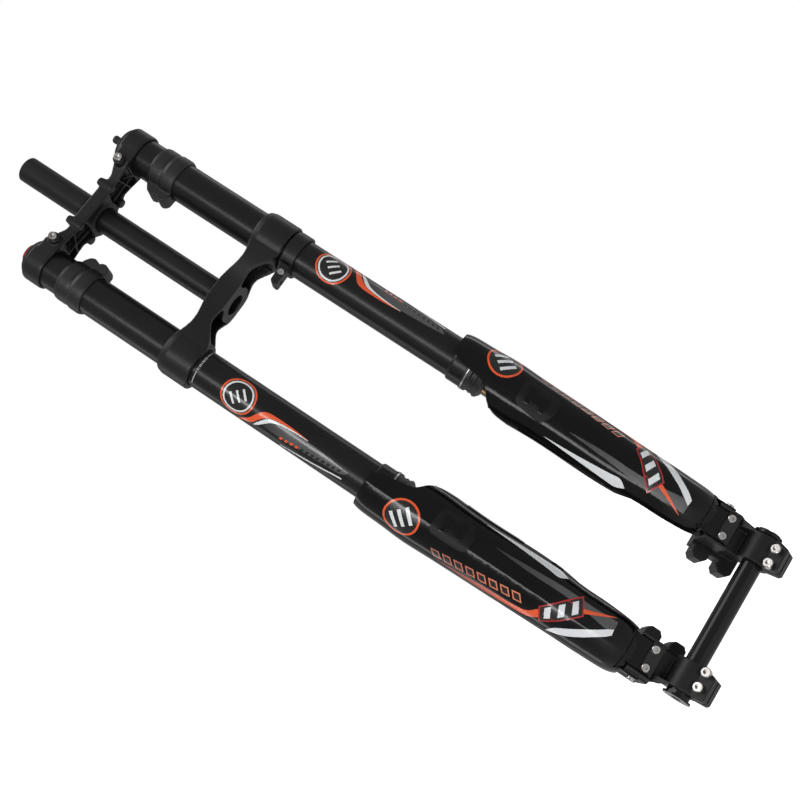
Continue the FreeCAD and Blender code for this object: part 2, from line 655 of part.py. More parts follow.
def foot_bolts():
    """Bolts that hold each rod to the bottom of its leg."""
    bolts = []
    for side in (LEFT, RIGHT):
        at = V(side * LEG_X, LEG_Y, -572)
        bolts.append(capped_screw(at, V(0, 0, -1), 7.0, 5.0, 4.0, 28, 3.4))
    return Part.makeCompound(bolts)


# ---------------------------------------------------------------- axle
def thru_axle():
    bar = rod_x(AXLE_R, -DROPOUT_OUT, DROPOUT_OUT + 1.0, AXLE_Y, AXLE_Z)
    head = rod_x(13.6, DROPOUT_OUT + 1.0, DROPOUT_OUT + 6.0, AXLE_Y, AXLE_Z)
    rim = [e for e in head.Edges if isinstance(e.Curve, Part.Circle)]
    head = head.makeChamfer(0.8, rim)
    bore = rod_x(6.0, -DROPOUT_OUT - 1, DROPOUT_OUT - 8, AXLE_Y, AXLE_Z)
    body = bar.fuse(head).cut(bore)
    for step in range(6):
        notch = box(DROPOUT_OUT + 2.5, DROPOUT_OUT + 8, -2.0, 2.0, 11.4, 16)
        notch.translate(V(0, AXLE_Y, AXLE_Z))
        notch.rotate(V(0, AXLE_Y, AXLE_Z), X_AXIS, 60 * step + 15)
        body = body.cut(notch)
    hexagon = []
    for step in range(6):
        angle = math.radians(60 * step)
        hexagon.append((AXLE_Y + 4.6 * math.cos(angle), AXLE_Z + 4.6 * math.sin(angle)))
    return body.cut(prism_x(hexagon, DROPOUT_OUT - 2, DROPOUT_OUT + 8))


def axle_nut():
    """Flanged nut on the right end of the axle."""
    neck = rod_x(11.6, -DROPOUT_OUT - 5.0, -DROPOUT_OUT, AXLE_Y, AXLE_Z)
    flange = rod_x(13.8, -DROPOUT_OUT - 7.0, -DROPOUT_OUT - 5.0, AXLE_Y, AXLE_Z)
    body = neck.fuse(flange)
    for step in range(3):
        flat = box(-DROPOUT_OUT - 4.6, -DROPOUT_OUT - 1, -4, 4, 10.4, 14)
        flat.translate(V(0, AXLE_Y, AXLE_Z))
        flat.rotate(V(0, AXLE_Y, AXLE_Z), X_AXIS, 120 * step + 40)
        body = body.cut(flat)
    return body.cut(rod_x(5.0, -120, -60, AXLE_Y, AXLE_Z))


# ---------------------------------------------------------------- valve and knob
def air_valve():
    return turned([
        (0, 175), (5.2, 175), (5.2, 177), (3.4, 177.8), (3.4, 186), (0, 186),
    ], LEG_X, LEG_Y)


def valve_cap():
    cap = turned([
        (3.4 + FIT, 178.4), (4.5, 178.4), (4.5, 189.2), (3.9, 190.4), (0, 190.4),
        (0, 186.6), (3.4 + FIT, 186.6),
    ], LEG_X, LEG_Y)
    for step in range(10):
        angle = math.radians(36 * step)
        x = LEG_X + 4.75 * math.cos(angle)
        y = LEG_Y + 4.75 * math.sin(angle)
        cap = cap.cut(rod(0.5, 178, 187.5, x, y))
    return cap


def knob_post():
    return turned([
        (0, 175), (6, 175), (6, 176.4), (3.2, 176.4), (3.2, 179), (0, 179),
    ], -LEG_X, LEG_Y)


def damper_knob():
    knob = turned([
        (3.2 + FIT, 176.8), (11.3, 176.8), (11.8, 177.4), (11.8, 180.2), (10.8, 181.4),
        (0, 181.4), (0, 179.4), (3.2 + FIT, 179.4),
    ], -LEG_X, LEG_Y)
    for step in range(12):
        angle = math.radians(30 * step)
        x = -LEG_X + 12.6 * math.cos(angle)
        y = LEG_Y + 12.6 * math.sin(angle)
        knob = knob.cut(rod(1.5, 170, 190, x, y))
    return knob


# ---------------------------------------------------------------- assembly
parts["steerer_tube"] = steerer_tube()
parts["lower_crown"] = lower_crown()
parts["upper_crown"] = upper_crown()
parts["upper_crown_bolts"] = upper_crown_bolts()
parts["lower_crown_bolts"] = lower_crown_bolts()
leg_pair("upper_tube", upper_tube())
leg_pair("guide_bushing", bushing())
leg_pair("slide_bush", slide_bush())
leg_pair("oil_seal", oil_seal())
leg_pair("dust_wiper", wiper())
leg_pair("wiper_spring", wiper_spring())
leg_pair("top_cap", top_cap())
leg_pair("bumper", bumper())
parts["hose_clamp"] = hose_clamp()
parts["hose_clamp_screw"] = hose_clamp_screw()
parts["air_cartridge"] = cartridge()
parts["damper_cartridge"] = mirrored(cartridge())
leg_pair("rod_guide", rod_guide())
leg_pair("topout_spring", topout_spring())
parts["air_piston"] = piston()
parts["damper_piston"] = mirrored(piston())
parts["air_shaft"] = piston_rod()
parts["damper_rod"] = mirrored(piston_rod())
leg_pair("stanchion", stanchion())
parts["dropout_left"] = dropout(LEFT)
parts["dropout_right"] = mirrored(dropout(RIGHT))
leg_pair("guard", guard())
parts["guard_strap_left"] = guard_strap(LEFT)
parts["guard_strap_right"] = mirrored(guard_strap(RIGHT))
parts["guard_screws"] = guard_screws()
parts["axle_pinch_bolts"] = axle_pinch_bolts()
parts["foot_bolts"] = foot_bolts()
parts["thru_axle"] = thru_axle()
parts["axle_nut"] = axle_nut()
parts["air_valve"] = air_valve()
parts["valve_cap"] = valve_cap()
parts["knob_post"] = knob_post()
parts["damper_knob"] = damper_knob()

os.makedirs("parts", exist_ok=True)
for name, shape in parts.items():
    shape.exportStep("parts/" + name + ".step")
    print(name, shape.ShapeType, len(shape.Solids), shape.isValid(), round(shape.Volume))
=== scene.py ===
"""Looks for the upside-down double-crown suspension fork, laid out as an add-on.

Run as a script: it loads the packed fork as a fixed frame, rounds the castings, adds the
guards' mouldings and the printed films, and gives every node its finish.
Sizes are metres; leg shapes are drawn flat in millimetres and wrapped on the leg.
"""
import json
import math

import bpy
from bpy.props import FloatProperty, FloatVectorProperty, IntProperty, PointerProperty
from mathutils import Matrix, Vector


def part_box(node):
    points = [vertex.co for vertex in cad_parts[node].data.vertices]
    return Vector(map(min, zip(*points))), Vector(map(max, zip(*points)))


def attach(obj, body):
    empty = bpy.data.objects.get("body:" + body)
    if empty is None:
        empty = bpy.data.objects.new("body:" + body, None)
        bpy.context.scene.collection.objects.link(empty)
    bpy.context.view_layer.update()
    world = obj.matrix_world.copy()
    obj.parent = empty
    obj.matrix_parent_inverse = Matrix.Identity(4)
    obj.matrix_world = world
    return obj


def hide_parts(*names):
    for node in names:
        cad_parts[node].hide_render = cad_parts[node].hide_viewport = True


bl_info = {
    "name": "Double-crown fork",
    "version": (1, 0, 0),
    "blender": (4, 5, 0),
    "location": "View3D > Sidebar > Fork",
    "description": "Builds the looks of a suspension fork around its packed frame",
    "category": "Object",
}

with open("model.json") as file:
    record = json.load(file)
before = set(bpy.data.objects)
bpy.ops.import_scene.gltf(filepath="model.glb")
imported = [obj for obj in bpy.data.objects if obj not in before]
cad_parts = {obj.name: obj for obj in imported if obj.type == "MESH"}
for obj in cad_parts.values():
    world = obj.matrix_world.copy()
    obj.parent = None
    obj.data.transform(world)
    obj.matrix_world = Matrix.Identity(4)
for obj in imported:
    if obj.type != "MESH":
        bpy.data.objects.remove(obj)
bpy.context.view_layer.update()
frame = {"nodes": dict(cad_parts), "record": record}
NODES = frame["nodes"]
BODY_OF = {
    node: body
    for body, nodes in frame["record"]["behaviour"]["bodies"].items()
    for node in nodes
}
SLOT_OF = {sub["node"]: sub["material_slot"] for sub in frame["record"]["subparts"]}
MM = 0.001
SIDES = (("left", 1), ("right", -1))


def middle(node):
    low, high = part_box(node)
    return (low + high) / 2


LEG = middle("upper_tube_left")           # x and y of the left leg's axis
TUBE_RADIUS = 21 * MM
GUARD_RADIUS = 32 * MM                    # arc lengths on a guard are laid out at this radius
WRAP_GAP = 1.5 * MM                       # flat shapes are bent this far out, then wrapped on
ADDED_EDGE_ANGLE = math.radians(38)       # edges sharper than this stay crisp on added pieces
BEVEL_ANGLE = math.radians(50)


# ---------------------------------------------------------------- settings
def colour(name, description, default):
    return FloatVectorProperty(
        name=name, description=description, default=default, subtype="COLOR", min=0, max=1)


def length(name, description, default):
    return FloatProperty(
        name=name, description=description, default=default, min=0, unit="LENGTH", subtype="DISTANCE")


class ForkColours(bpy.types.PropertyGroup):
    """Colours that a user would change"""
    casting: colour("Castings", "Satin black of the crowns and dropouts", (0.010, 0.010, 0.0105))
    tube: colour("Tubes", "Satin black of the upper tubes and the steerer", (0.010, 0.0095, 0.0095))
    guard: colour("Guards", "Gloss black of the leg guards", (0.0045, 0.0045, 0.005))
    stanchion: colour("Stanchions", "Bronze hard anodising", (0.36, 0.25, 0.12))
    knob: colour("Knob", "Red anodising of the rebound knob", (0.28, 0.006, 0.008))
    orange: colour("Orange film", "Orange of the printed films", (0.88, 0.105, 0.022))
    white: colour("White film", "White of the printed films", (0.84, 0.86, 0.88))
    grey: colour("Grey film", "Grey of the long blades", (0.085, 0.085, 0.088))


class ForkCasting(bpy.types.PropertyGroup):
    """How much the castings' edges are rounded"""
    crown_voxel: length("Crown voxel", "Grid that the crowns are remeshed on", 0.8 * MM)
    small_voxel: length("Dropout voxel", "Grid for the dropouts, bumpers and clamp", 0.6 * MM)
    passes: IntProperty(
        name="Smoothing passes", description="Smoothing after the remesh", default=5, min=0)


class ForkFilm(bpy.types.PropertyGroup):
    """The printed films"""
    lift: length("Lift", "How far the first layer of film stands off the surface", 0.06 * MM)
    layer: length("Layer", "Step from one layer of film to the next", 0.05 * MM)
    thickness: length("Thickness", "Thickness of one film", 0.04 * MM)
    emblem_radius: length("Emblem radius", "Outer radius of the ring emblems", 19.2 * MM)


class ForkStudio(bpy.types.PropertyGroup):
    """Floor and light"""
    floor_height: FloatProperty(
        name="Floor height", description="Height of the floor under the crown race seat",
        default=-0.9, unit="LENGTH", subtype="DISTANCE")
    surround: FloatProperty(
        name="Surround", description="Light that the plain surround sheds", default=0.36, min=0)
    strip_power: FloatProperty(
        name="Strip power", description="Power of the long strip light", default=14.0, min=0,
        unit="POWER")


# ---------------------------------------------------------------- finishes
FINISHES = {}


def new_material(name):
    """Node material with a Principled shader, and the Object coordinates it reads."""
    made = bpy.data.materials.new("finish_" + name)
    FINISHES[name] = made
    made.use_nodes = True
    tree = made.node_tree
    coords = tree.nodes.new("ShaderNodeTexCoord")
    return made, tree, tree.nodes["Principled BSDF"], coords.outputs["Object"]


def noise(tree, where, scale, detail=3.0, stretch=(1, 1, 1)):
    """Noise with `scale` features per metre, drawn out along the axes by `stretch`."""
    mapping = tree.nodes.new("ShaderNodeMapping")
    mapping.inputs["Scale"].default_value = stretch
    tree.links.new(where, mapping.inputs["Vector"])
    texture = tree.nodes.new("ShaderNodeTexNoise")
    texture.inputs["Scale"].default_value = scale
    texture.inputs["Detail"].default_value = detail
    tree.links.new(mapping.outputs["Vector"], texture.inputs["Vector"])
    return texture.outputs["Fac"]


def spread(tree, fac, low, high, start=0.3, end=0.7):
    """Maps start to end onto low to high."""
    ramp = tree.nodes.new("ShaderNodeMapRange")
    ramp.inputs["From Min"].default_value = start
    ramp.inputs["From Max"].default_value = end
    ramp.inputs["To Min"].default_value = low
    ramp.inputs["To Max"].default_value = high
    tree.links.new(fac, ramp.inputs["Value"])
    return ramp.outputs["Result"]


def tint(tree, fac, first, second):
    """Colour between first and second; each is a colour or another node's output."""
    mix = tree.nodes.new("ShaderNodeMix")
    mix.data_type = "RGBA"
    for socket, value in ((mix.inputs["A"], first), (mix.inputs["B"], second)):
        if isinstance(value, bpy.types.NodeSocket):
            tree.links.new(value, socket)
        else:
            socket.default_value = (*value, 1)
    tree.links.new(fac, mix.inputs["Factor"])
    return mix.outputs["Result"]


def bump(tree, shader, height, strength, distance):
    node = tree.nodes.new("ShaderNodeBump")
    node.inputs["Strength"].default_value = strength
    node.inputs["Distance"].default_value = distance
    tree.links.new(height, node.inputs["Height"])
    tree.links.new(node.outputs["Normal"], shader.inputs["Normal"])


def worn_edges(tree, base, pale, amount):
    """Pales the base colour where edges stick out."""
    geometry = tree.nodes.new("ShaderNodeNewGeometry")
    edge = spread(tree, geometry.outputs["Pointiness"], 0.0, amount, 0.52, 0.60)
    return tint(tree, edge, base, pale)


def finish(name, base, rough, metallic=0.0, grain=900.0, stretch=(1, 1, 1), depth=0.04 * MM,
           strength=0.2, coat=0.0, worn=0.0, shade=0.65, shine=0.5):
    """Colour that varies over centimetres, and roughness and surface that vary over the grain."""
    _, tree, shader, where = new_material(name)
    broad = noise(tree, where, 24.0)
    fine = noise(tree, where, grain, 3.0, stretch)
    dark = tuple(value * shade for value in base)
    body = tint(tree, spread(tree, broad, 0.0, 1.0), base, dark)
    if worn:
        pale = tuple(min(1.0, value * 3 + 0.02) for value in base)
        body = worn_edges(tree, body, pale, worn)
    tree.links.new(body, shader.inputs["Base Color"])
    tree.links.new(spread(tree, fine, *rough), shader.inputs["Roughness"])
    shader.inputs["Metallic"].default_value = metallic
    shader.inputs["Specular IOR Level"].default_value = shine
    shader.inputs["Coat Weight"].default_value = coat
    shader.inputs["Coat Roughness"].default_value = 0.06
    bump(tree, shader, fine, strength, depth)


def film_finish(name, base, faded=None, span=None):
    """Glossy printed film; `faded` is its colour at the upper end of the height span."""
    _, tree, shader, where = new_material(name)
    dots = noise(tree, where, 2600.0)
    body = tint(tree, spread(tree, dots, 0.0, 1.0), base, tuple(value * 0.86 for value in base))
    if faded:
        split = tree.nodes.new("ShaderNodeSeparateXYZ")
        tree.links.new(where, split.inputs[0])
        body = tint(tree, spread(tree, split.outputs["Z"], 0.0, 1.0, *span), body, faded)
    tree.links.new(body, shader.inputs["Base Color"])
    tree.links.new(spread(tree, noise(tree, where, 60.0), 0.22, 0.32), shader.inputs["Roughness"])
    shader.inputs["Coat Weight"].default_value = 0.4
    shader.inputs["Coat Roughness"].default_value = 0.08
    bump(tree, shader, dots, 0.02, 0.01 * MM)


class FORK_OT_finishes(bpy.types.Operator):
    """Makes every finish and gives each carried-over node its own"""
    bl_idname = "fork.finishes"
    bl_label = "Finishes"

    def execute(self, context):
        colours = context.scene.fork_colours
        casting, tube, guard = tuple(colours.casting), tuple(colours.tube), tuple(colours.guard)
        along_leg = (1, 1, 0.05)          # drawn or brushed lines that run down a leg
        around_leg = (0.06, 0.06, 1)      # turned lines that run round a leg
        across = (0.04, 1, 1)             # turned lines on the axle
        finish("steerer_alloy", tube, (0.34, 0.44), stretch=around_leg, grain=1500, strength=0.1,
               shine=0.3)
        finish("crown_black", casting, (0.33, 0.45), grain=1300, strength=0.22, worn=0.2, shine=0.35)
        finish("dropout_black", casting, (0.34, 0.47), grain=1500, strength=0.22, worn=0.2, shine=0.35)
        finish("tube_black", tube, (0.27, 0.33), stretch=along_leg, grain=1400, strength=0.03, shine=0.3)
        finish("cap_alloy", tube, (0.26, 0.36), stretch=around_leg, grain=1200, strength=0.1, shine=0.35)
        finish("alloy_plain", (0.60, 0.61, 0.63), (0.24, 0.36), 1.0, stretch=around_leg)
        finish("rod_chrome", (0.74, 0.75, 0.77), (0.05, 0.10), 1.0, stretch=around_leg, strength=0.05)
        finish("spring_steel", (0.38, 0.39, 0.41), (0.2, 0.32), 1.0, grain=2200)
        finish("bright_screw", (0.66, 0.64, 0.62), (0.17, 0.28), 1.0, grain=2400, worn=0.2)
        finish("bushing_bronze", (0.44, 0.30, 0.14), (0.4, 0.55), 1.0, grain=2600)
        finish("seal_rubber", (0.009, 0.009, 0.009), (0.38, 0.52), grain=1800, strength=0.3)
        finish("stanchion_gold", tuple(colours.stanchion), (0.12, 0.2), 1.0, stretch=around_leg,
               strength=0.06)
        finish("guard_black", guard, (0.10, 0.15), grain=260, strength=0.02, coat=0.1, shine=0.2)
        finish("guard_matte", casting, (0.40, 0.50), grain=2400, strength=0.3, shine=0.2)
        finish("axle_black", (0.006, 0.006, 0.007), (0.12, 0.18), stretch=across, strength=0.03,
               shine=0.35)
        finish("valve_brass", (0.58, 0.43, 0.19), (0.25, 0.36), 1.0, grain=1800)
        finish("cap_black", (0.010, 0.010, 0.010), (0.36, 0.48), grain=2000, strength=0.3)
        finish("knob_red", tuple(colours.knob), (0.25, 0.35), 0.6, stretch=around_leg, worn=0.3)
        film_finish("graphic_orange", tuple(colours.orange))
        film_finish("graphic_faded", tuple(colours.orange), (0.16, 0.055, 0.05), (-0.43, -0.35))
        film_finish("graphic_pale", (0.80, 0.24, 0.14), (0.45, 0.13, 0.09), (-0.40, -0.34))
        film_finish("graphic_white", tuple(colours.white))
        film_finish("graphic_grey", tuple(colours.grey), tuple(v * 0.35 for v in colours.grey),
                    (-0.16, -0.13))
        film_finish("graphic_blade", tuple(colours.grey), tuple(v * 0.3 for v in colours.grey),
                    (-0.46, -0.39))
        film_finish("graphic_red", (0.5, 0.012, 0.012))
        film_finish("graphic_black", (0.006, 0.006, 0.006))
        for node, slot in SLOT_OF.items():
            wear(NODES[node], slot)
        return {"FINISHED"}


def wear(piece, material):
    """The piece takes this material all over."""
    piece.data.materials.clear()
    piece.data.materials.append(FINISHES[material])


# ---------------------------------------------------------------- modelling helpers
def take(piece):
    """Only this piece is selected, and it is the active one."""
    bpy.ops.object.select_all(action="DESELECT")
    piece.select_set(True)
    bpy.context.view_layer.objects.active = piece


def modifier(piece, kind, **settings):
    """Adds a modifier with these settings and applies it."""
    take(piece)
    added = piece.modifiers.new(kind.lower(), kind)
    for name, value in settings.items():
        setattr(added, name, value)
    bpy.ops.object.modifier_apply(modifier=added.name)


def edited(piece, *steps):
    """Runs edit-mode operators on the whole piece."""
    take(piece)
    bpy.ops.object.mode_set(mode="EDIT")
    bpy.ops.mesh.select_all(action="SELECT")
    for step in steps:
        step()
    bpy.ops.object.mode_set(mode="OBJECT")


def outward():
    bpy.ops.mesh.normals_make_consistent(inside=False)


def merged():
    bpy.ops.mesh.remove_doubles(threshold=0.004 * MM)


def done(piece, body, slot, material=None):
    """Smooths a finished piece by angle, gives it its material (the slot's where none is named) and
    attaches it to its body.
    """
    take(piece)
    bpy.ops.object.shade_smooth_by_angle(angle=ADDED_EDGE_ANGLE)
    wear(piece, material or slot)
    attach(piece, body)
    return piece


# ---------------------------------------------------------------- castings
def casting(node, voxel, passes):
    """Copy of a CAD node with its edges rounded as a casting's or moulding's are."""
    piece = bpy.data.objects.new(node + "_shape", NODES[node].data.copy())
    bpy.context.scene.collection.objects.link(piece)
    edited(piece, merged)
    modifier(piece, "REMESH", mode="VOXEL", voxel_size=voxel)
    modifier(piece, "SMOOTH", factor=0.5, iterations=passes)
    edited(piece, outward)
    take(piece)
    bpy.ops.object.shade_smooth()
    wear(piece, SLOT_OF[node])
    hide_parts(node)
    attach(piece, BODY_OF[node])


class FORK_OT_castings(bpy.types.Operator):
    """Rounds the crowns, dropouts, rubber bumpers and the hose clamp"""
    bl_idname = "fork.castings"
    bl_label = "Castings"

    def execute(self, context):
        sizes = context.scene.fork_casting
        for node in ("lower_crown", "upper_crown"):
            casting(node, sizes.crown_voxel, sizes.passes)
        small = ["hose_clamp"]
        for side, _ in SIDES:
            small += ["dropout_" + side, "bumper_" + side]
        for node in small:
            casting(node, sizes.small_voxel, sizes.passes)
        return {"FINISHED"}


# ---------------------------------------------------------------- flat shapes
def blend_points(before, start, end, after, part):
    """Smooth curve through the points, part of the way from start to end."""
    slope = (end - before) / 2
    next_slope = (after - start) / 2
    square, cube = part * part, part ** 3
    return ((2 * cube - 3 * square + 1) * start + (cube - 2 * square + part) * slope
            + (3 * square - 2 * cube) * end + (cube - square) * next_slope)


def along_rows(ends, position):
    """Point of a smooth line through the ends, where position counts rows."""
    first = min(int(position), len(ends) - 2)
    before = ends[max(first - 1, 0)]
    after = ends[min(first + 2, len(ends) - 1)]
    return blend_points(before, ends[first], ends[first + 1], after, position - first)


def blade(rows, steps=6, across=6):
    """Flat sheet between two edges; a row is ((arc, height), (arc, height)) in millimetres."""
    starts = [Vector(row[0]) for row in rows]
    finishes = [Vector(row[1]) for row in rows]
    spans = len(rows) - 1
    bpy.ops.mesh.primitive_grid_add(x_subdivisions=across, y_subdivisions=spans * steps, size=1)
    piece = bpy.context.object
    for vertex in piece.data.vertices:
        share = vertex.co.x + 0.5
        position = (vertex.co.y + 0.5) * spans
        start = along_rows(starts, position)
        finish_point = along_rows(finishes, position)
        arc, height = start.lerp(finish_point, share) * MM
        vertex.co = (arc, 0, height)
    return piece


def ring(arc, height, outer, inner, sides=96):
    """Flat ring, or a disc where inner is zero, from a circle extruded inwards."""
    bpy.ops.object.select_all(action="DESELECT")
    centre = (arc * MM, 0, height * MM)
    bpy.ops.mesh.primitive_circle_add(
        vertices=sides, radius=outer * MM, location=centre, rotation=(math.pi / 2, 0, 0))
    piece = bpy.context.object
    bpy.ops.object.transform_apply(location=True, rotation=True)
    bpy.ops.object.mode_set(mode="EDIT")
    bpy.ops.mesh.select_all(action="SELECT")
    steps = 2 if inner else 10
    reach = outer
    for step in range(1, steps + 1):
        target = outer + (max(inner, 0.2) - outer) * step / steps
        bpy.ops.mesh.extrude_edges_move()
        bpy.ops.transform.resize(value=(target / reach,) * 3, center_override=centre)
        reach = target
    if not inner:
        bpy.ops.mesh.merge(type="CENTER")
    bpy.ops.object.mode_set(mode="OBJECT")
    return piece


def slanted_box(centre, long_half, short_half, lean):
    """Rows of a box about a centre; long_half and short_half are (arc, height) vectors."""
    middle_point, long_way, short_way = Vector(centre), Vector(long_half), Vector(short_half)
    rows = []
    for share in (-1, 0, 1):
        row_middle = middle_point + long_way * share
        rows.append((row_middle - short_way * lean, row_middle + short_way * lean))
    return rows


# ---------------------------------------------------------------- wrapping on a leg
def on_leg(name, shapes, side, kind, rise, thick):
    """Joins flat shapes, bends them round a leg and lays them on its tube or guard."""
    sign = dict(SIDES)[side]
    take(shapes[0])
    for shape in shapes:
        shape.select_set(True)
    if len(shapes) > 1:
        bpy.ops.object.join()
    piece = bpy.context.object
    piece.name = name + "_" + side
    nominal = TUBE_RADIUS if kind == "upper_tube" else GUARD_RADIUS
    start_radius = nominal + WRAP_GAP
    for vertex in piece.data.vertices:
        angle = vertex.co.x / nominal
        x = LEG.x + start_radius * math.sin(angle)
        vertex.co = (sign * x, LEG.y - start_radius * math.cos(angle), vertex.co.z)
    modifier(piece, "SHRINKWRAP", target=NODES[kind + "_" + side], offset=rise,
             wrap_method="NEAREST_SURFACEPOINT", wrap_mode="ABOVE_SURFACE")
    modifier(piece, "SOLIDIFY", thickness=thick, offset=0)
    edited(piece, merged, outward)
    return piece


def film(context, name, shapes, side, kind, layer, material, slot=None):
    """Printed film on a leg, in the numbered layer."""
    sizes = context.scene.fork_film
    rise = sizes.lift + layer * sizes.layer
    piece = on_leg(name, shapes, side, kind, rise, sizes.thickness)
    body = "crown_unit" if kind == "upper_tube" else "lower_unit"
    return done(piece, body, slot or material, material)


# Outlines on the left leg, mirrored for the right one. Each row is a pair of points, and a
# point is (arc from the leg's front towards the outside, height), in millimetres.
def level(height, start, end):
    return ((start, height), (end, height))


TUBE_EMBLEM = (5.6, -94.5)
TUBE_ORANGE = [
    level(-102, 29.5, 30.5), level(-109, 23, 26.5), level(-115, 17, 24), level(-120, 9.5, 20),
    level(-125, 4.2, 13), level(-131, 2.2, 8), level(-140, 1.6, 4.9), level(-158, 1.9, 3.7),
    level(-178, 3.3, 3.6),
]
TUBE_WHITE = [
    level(-121, 21.5, 23.5), level(-127, 13, 18.5), level(-132, 8.2, 13.5), level(-138, 5.6, 9),
    level(-148, 4.4, 6.2), level(-164, 3.5, 4.6), level(-178, 3.8, 4.2),
]
TUBE_BLADE = [
    level(-131, 15, 17), level(-138, 9.6, 17.5), level(-148, 6.6, 17.8), level(-165, 5.0, 17.5),
    level(-183, 4.9, 16.4), level(-205, 6.2, 15.0), level(-221, 7.6, 13.8), level(-228, 8.4, 10.0),
]
TUBE_LINE = [
    level(-154, 26.6, 27.6), level(-190, 21.8, 23.4), level(-222, 17.2, 18.8),
    level(-225, 18.6, 19.0),
]
GUARD_EMBLEM = (17.4, -295.5)
GUARD_STRIPE = [
    level(-342, 38.6, 39.4), level(-372, 36, 42), level(-400, 33, 41), level(-425, 31.4, 38.6),
    level(-441, 27.6, 36.8), level(-449, 18, 32.4), level(-456, 12, 25),
]
GUARD_TIP = [
    level(-484, -7.6, -2), level(-495, -11.8, -8), level(-505, -16, -13.4), level(-517, -21.2, -20.8),
]
GUARD_SWOOSH = [
    ((39.4, -467.5), (39.2, -468.5)), ((27.5, -472), (31.5, -480.5)), ((17, -483), (21.5, -492)),
    ((8.5, -494.5), (13.4, -501)), ((0, -507), (5.2, -511.5)), ((-8.2, -518.5), (-1.6, -519.2)),
]
GUARD_BLADE = [
    level(-386, -10.2, -9.8), level(-410, -11.8, -8.2), level(-433, -13.4, -7.8),
    level(-456, -15.2, -8.4), level(-476, -15.7, -7.8), level(-494, -15.4, -6.0),
    level(-511, -16.6, -4.0), level(-519, -17.2, -8.0),
]
GUARD_WEDGE = [
    level(-368, -27.6, -27.2), level(-391, -28.8, -26), level(-415, -29.9, -24.2),
    level(-438, -31.2, -22.4), level(-451, -31.8, -21.4), level(-460, -27.8, -27.4),
]


def marks(start, end, count, half_long, half_short):
    """Rows of evenly spaced slanted dashes from start to end."""
    start, end = Vector(start), Vector(end)
    rows = []
    for number in range(count):
        centre = start.lerp(end, number / (count - 1))
        rows.append(slanted_box(centre, half_long, half_short, 1))
    return rows


class FORK_OT_tube_films(bpy.types.Operator):
    """Lays the printed films on both upper tubes"""
    bl_idname = "fork.tube_films"
    bl_label = "Tube films"

    def execute(self, context):
        outer = context.scene.fork_film.emblem_radius / MM
        arc, height = TUBE_EMBLEM
        for side, _ in SIDES:
            def lay(name, shapes, layer, material, slot=None):
                film(context, name, shapes, side, "upper_tube", layer, material, slot)

            lay("tube_blade", [blade(TUBE_BLADE)], 0, "graphic_grey")
            lay("tube_orange", [blade(TUBE_ORANGE)], 1, "graphic_orange")
            lay("tube_white", [blade(TUBE_WHITE), blade(TUBE_LINE)], 2, "graphic_white")
            lay("tube_emblem_disc", [ring(arc, height, outer - 1.8, 0)], 1, "graphic_black")
            lay("tube_emblem_rim", [ring(arc, height, outer, outer - 1.9)], 2, "graphic_orange")
            low, high = (arc - 4.6, height - 5), (arc + 4.6, height + 5)
            emblem_bars = marks(low, high, 3, (4.4, -4.4), (0.8, 0.8))
            inner_parts = [ring(arc, height, outer - 3.0, outer - 4.8)]
            inner_parts += [blade(rows) for rows in emblem_bars]
            lay("tube_emblem_mark", inner_parts, 3, "graphic_white")
            dashes = marks((17.6, -153), (11.4, -219), 12, (-0.3, -1.7), (1.5, 0.3))
            lay("tube_dashes", [blade(rows) for rows in dashes[4:]], 3, "graphic_black")
            lay("tube_dashes_bright", [blade(rows) for rows in dashes[:4]], 3, "graphic_orange")
        return {"FINISHED"}


class FORK_OT_guard_films(bpy.types.Operator):
    """Lays the printed films on both leg guards"""
    bl_idname = "fork.guard_films"
    bl_label = "Guard films"

    def execute(self, context):
        outer = context.scene.fork_film.emblem_radius / MM
        arc, height = GUARD_EMBLEM
        box_centre, box_long, box_short = (6.0, -468.5), (-16.6, -15.6), (9.0, -4.2)
        for side, _ in SIDES:
            def lay(name, shapes, layer, material, slot=None):
                film(context, name, shapes, side, "guard", layer, material, slot)

            lay("guard_blade", [blade(GUARD_BLADE)], 0, "graphic_blade", "graphic_grey")
            lay("guard_stripe", [blade(GUARD_STRIPE)], 1, "graphic_faded", "graphic_orange")
            lay("guard_tip", [blade(GUARD_TIP)], 1, "graphic_orange")
            lay("guard_white", [blade(GUARD_SWOOSH), blade(GUARD_WEDGE)], 1, "graphic_white")
            lay("guard_emblem_disc", [ring(arc, height, outer - 1.8, 0)], 0, "graphic_black")
            lay("guard_emblem_rim", [ring(arc, height, outer, outer - 2.1)], 1, "graphic_orange")
            bars = marks((arc - 6, height - 6), (arc + 6, height + 6), 3, (6.2, -6.2), (1.3, 1.3))
            lay("guard_emblem_mark", [blade(rows) for rows in bars], 1, "graphic_white")
            lay("guard_box_edge", [blade(slanted_box(box_centre, box_long, box_short, 1))], 2,
                "graphic_red", "graphic_orange")
            inner_long = Vector(box_long) * 0.93
            inner_box = slanted_box(box_centre, inner_long, box_short, 0.86)
            lay("guard_box", [blade(inner_box)], 3, "graphic_black")
            slashes = marks((15.5, -459), (-4.2, -478), 3, (-2.3, -2.2), (5.6, -2.6))
            lay("guard_slashes", [blade(rows) for rows in slashes], 4, "graphic_white")
            first, last = (30.8, -342), (18.8, -427)
            dashes = marks(first, last, 8, (-0.7, -4.4), (4.5, -3.2))
            lay("guard_dashes_edge", [blade(rows) for rows in dashes], 0, "graphic_pale",
                "graphic_orange")
            cores = marks(first, last, 8, (-0.5, -3.0), (3.1, -2.3))
            lay("guard_dashes_core", [blade(rows) for rows in cores], 1, "graphic_black")
        return {"FINISHED"}


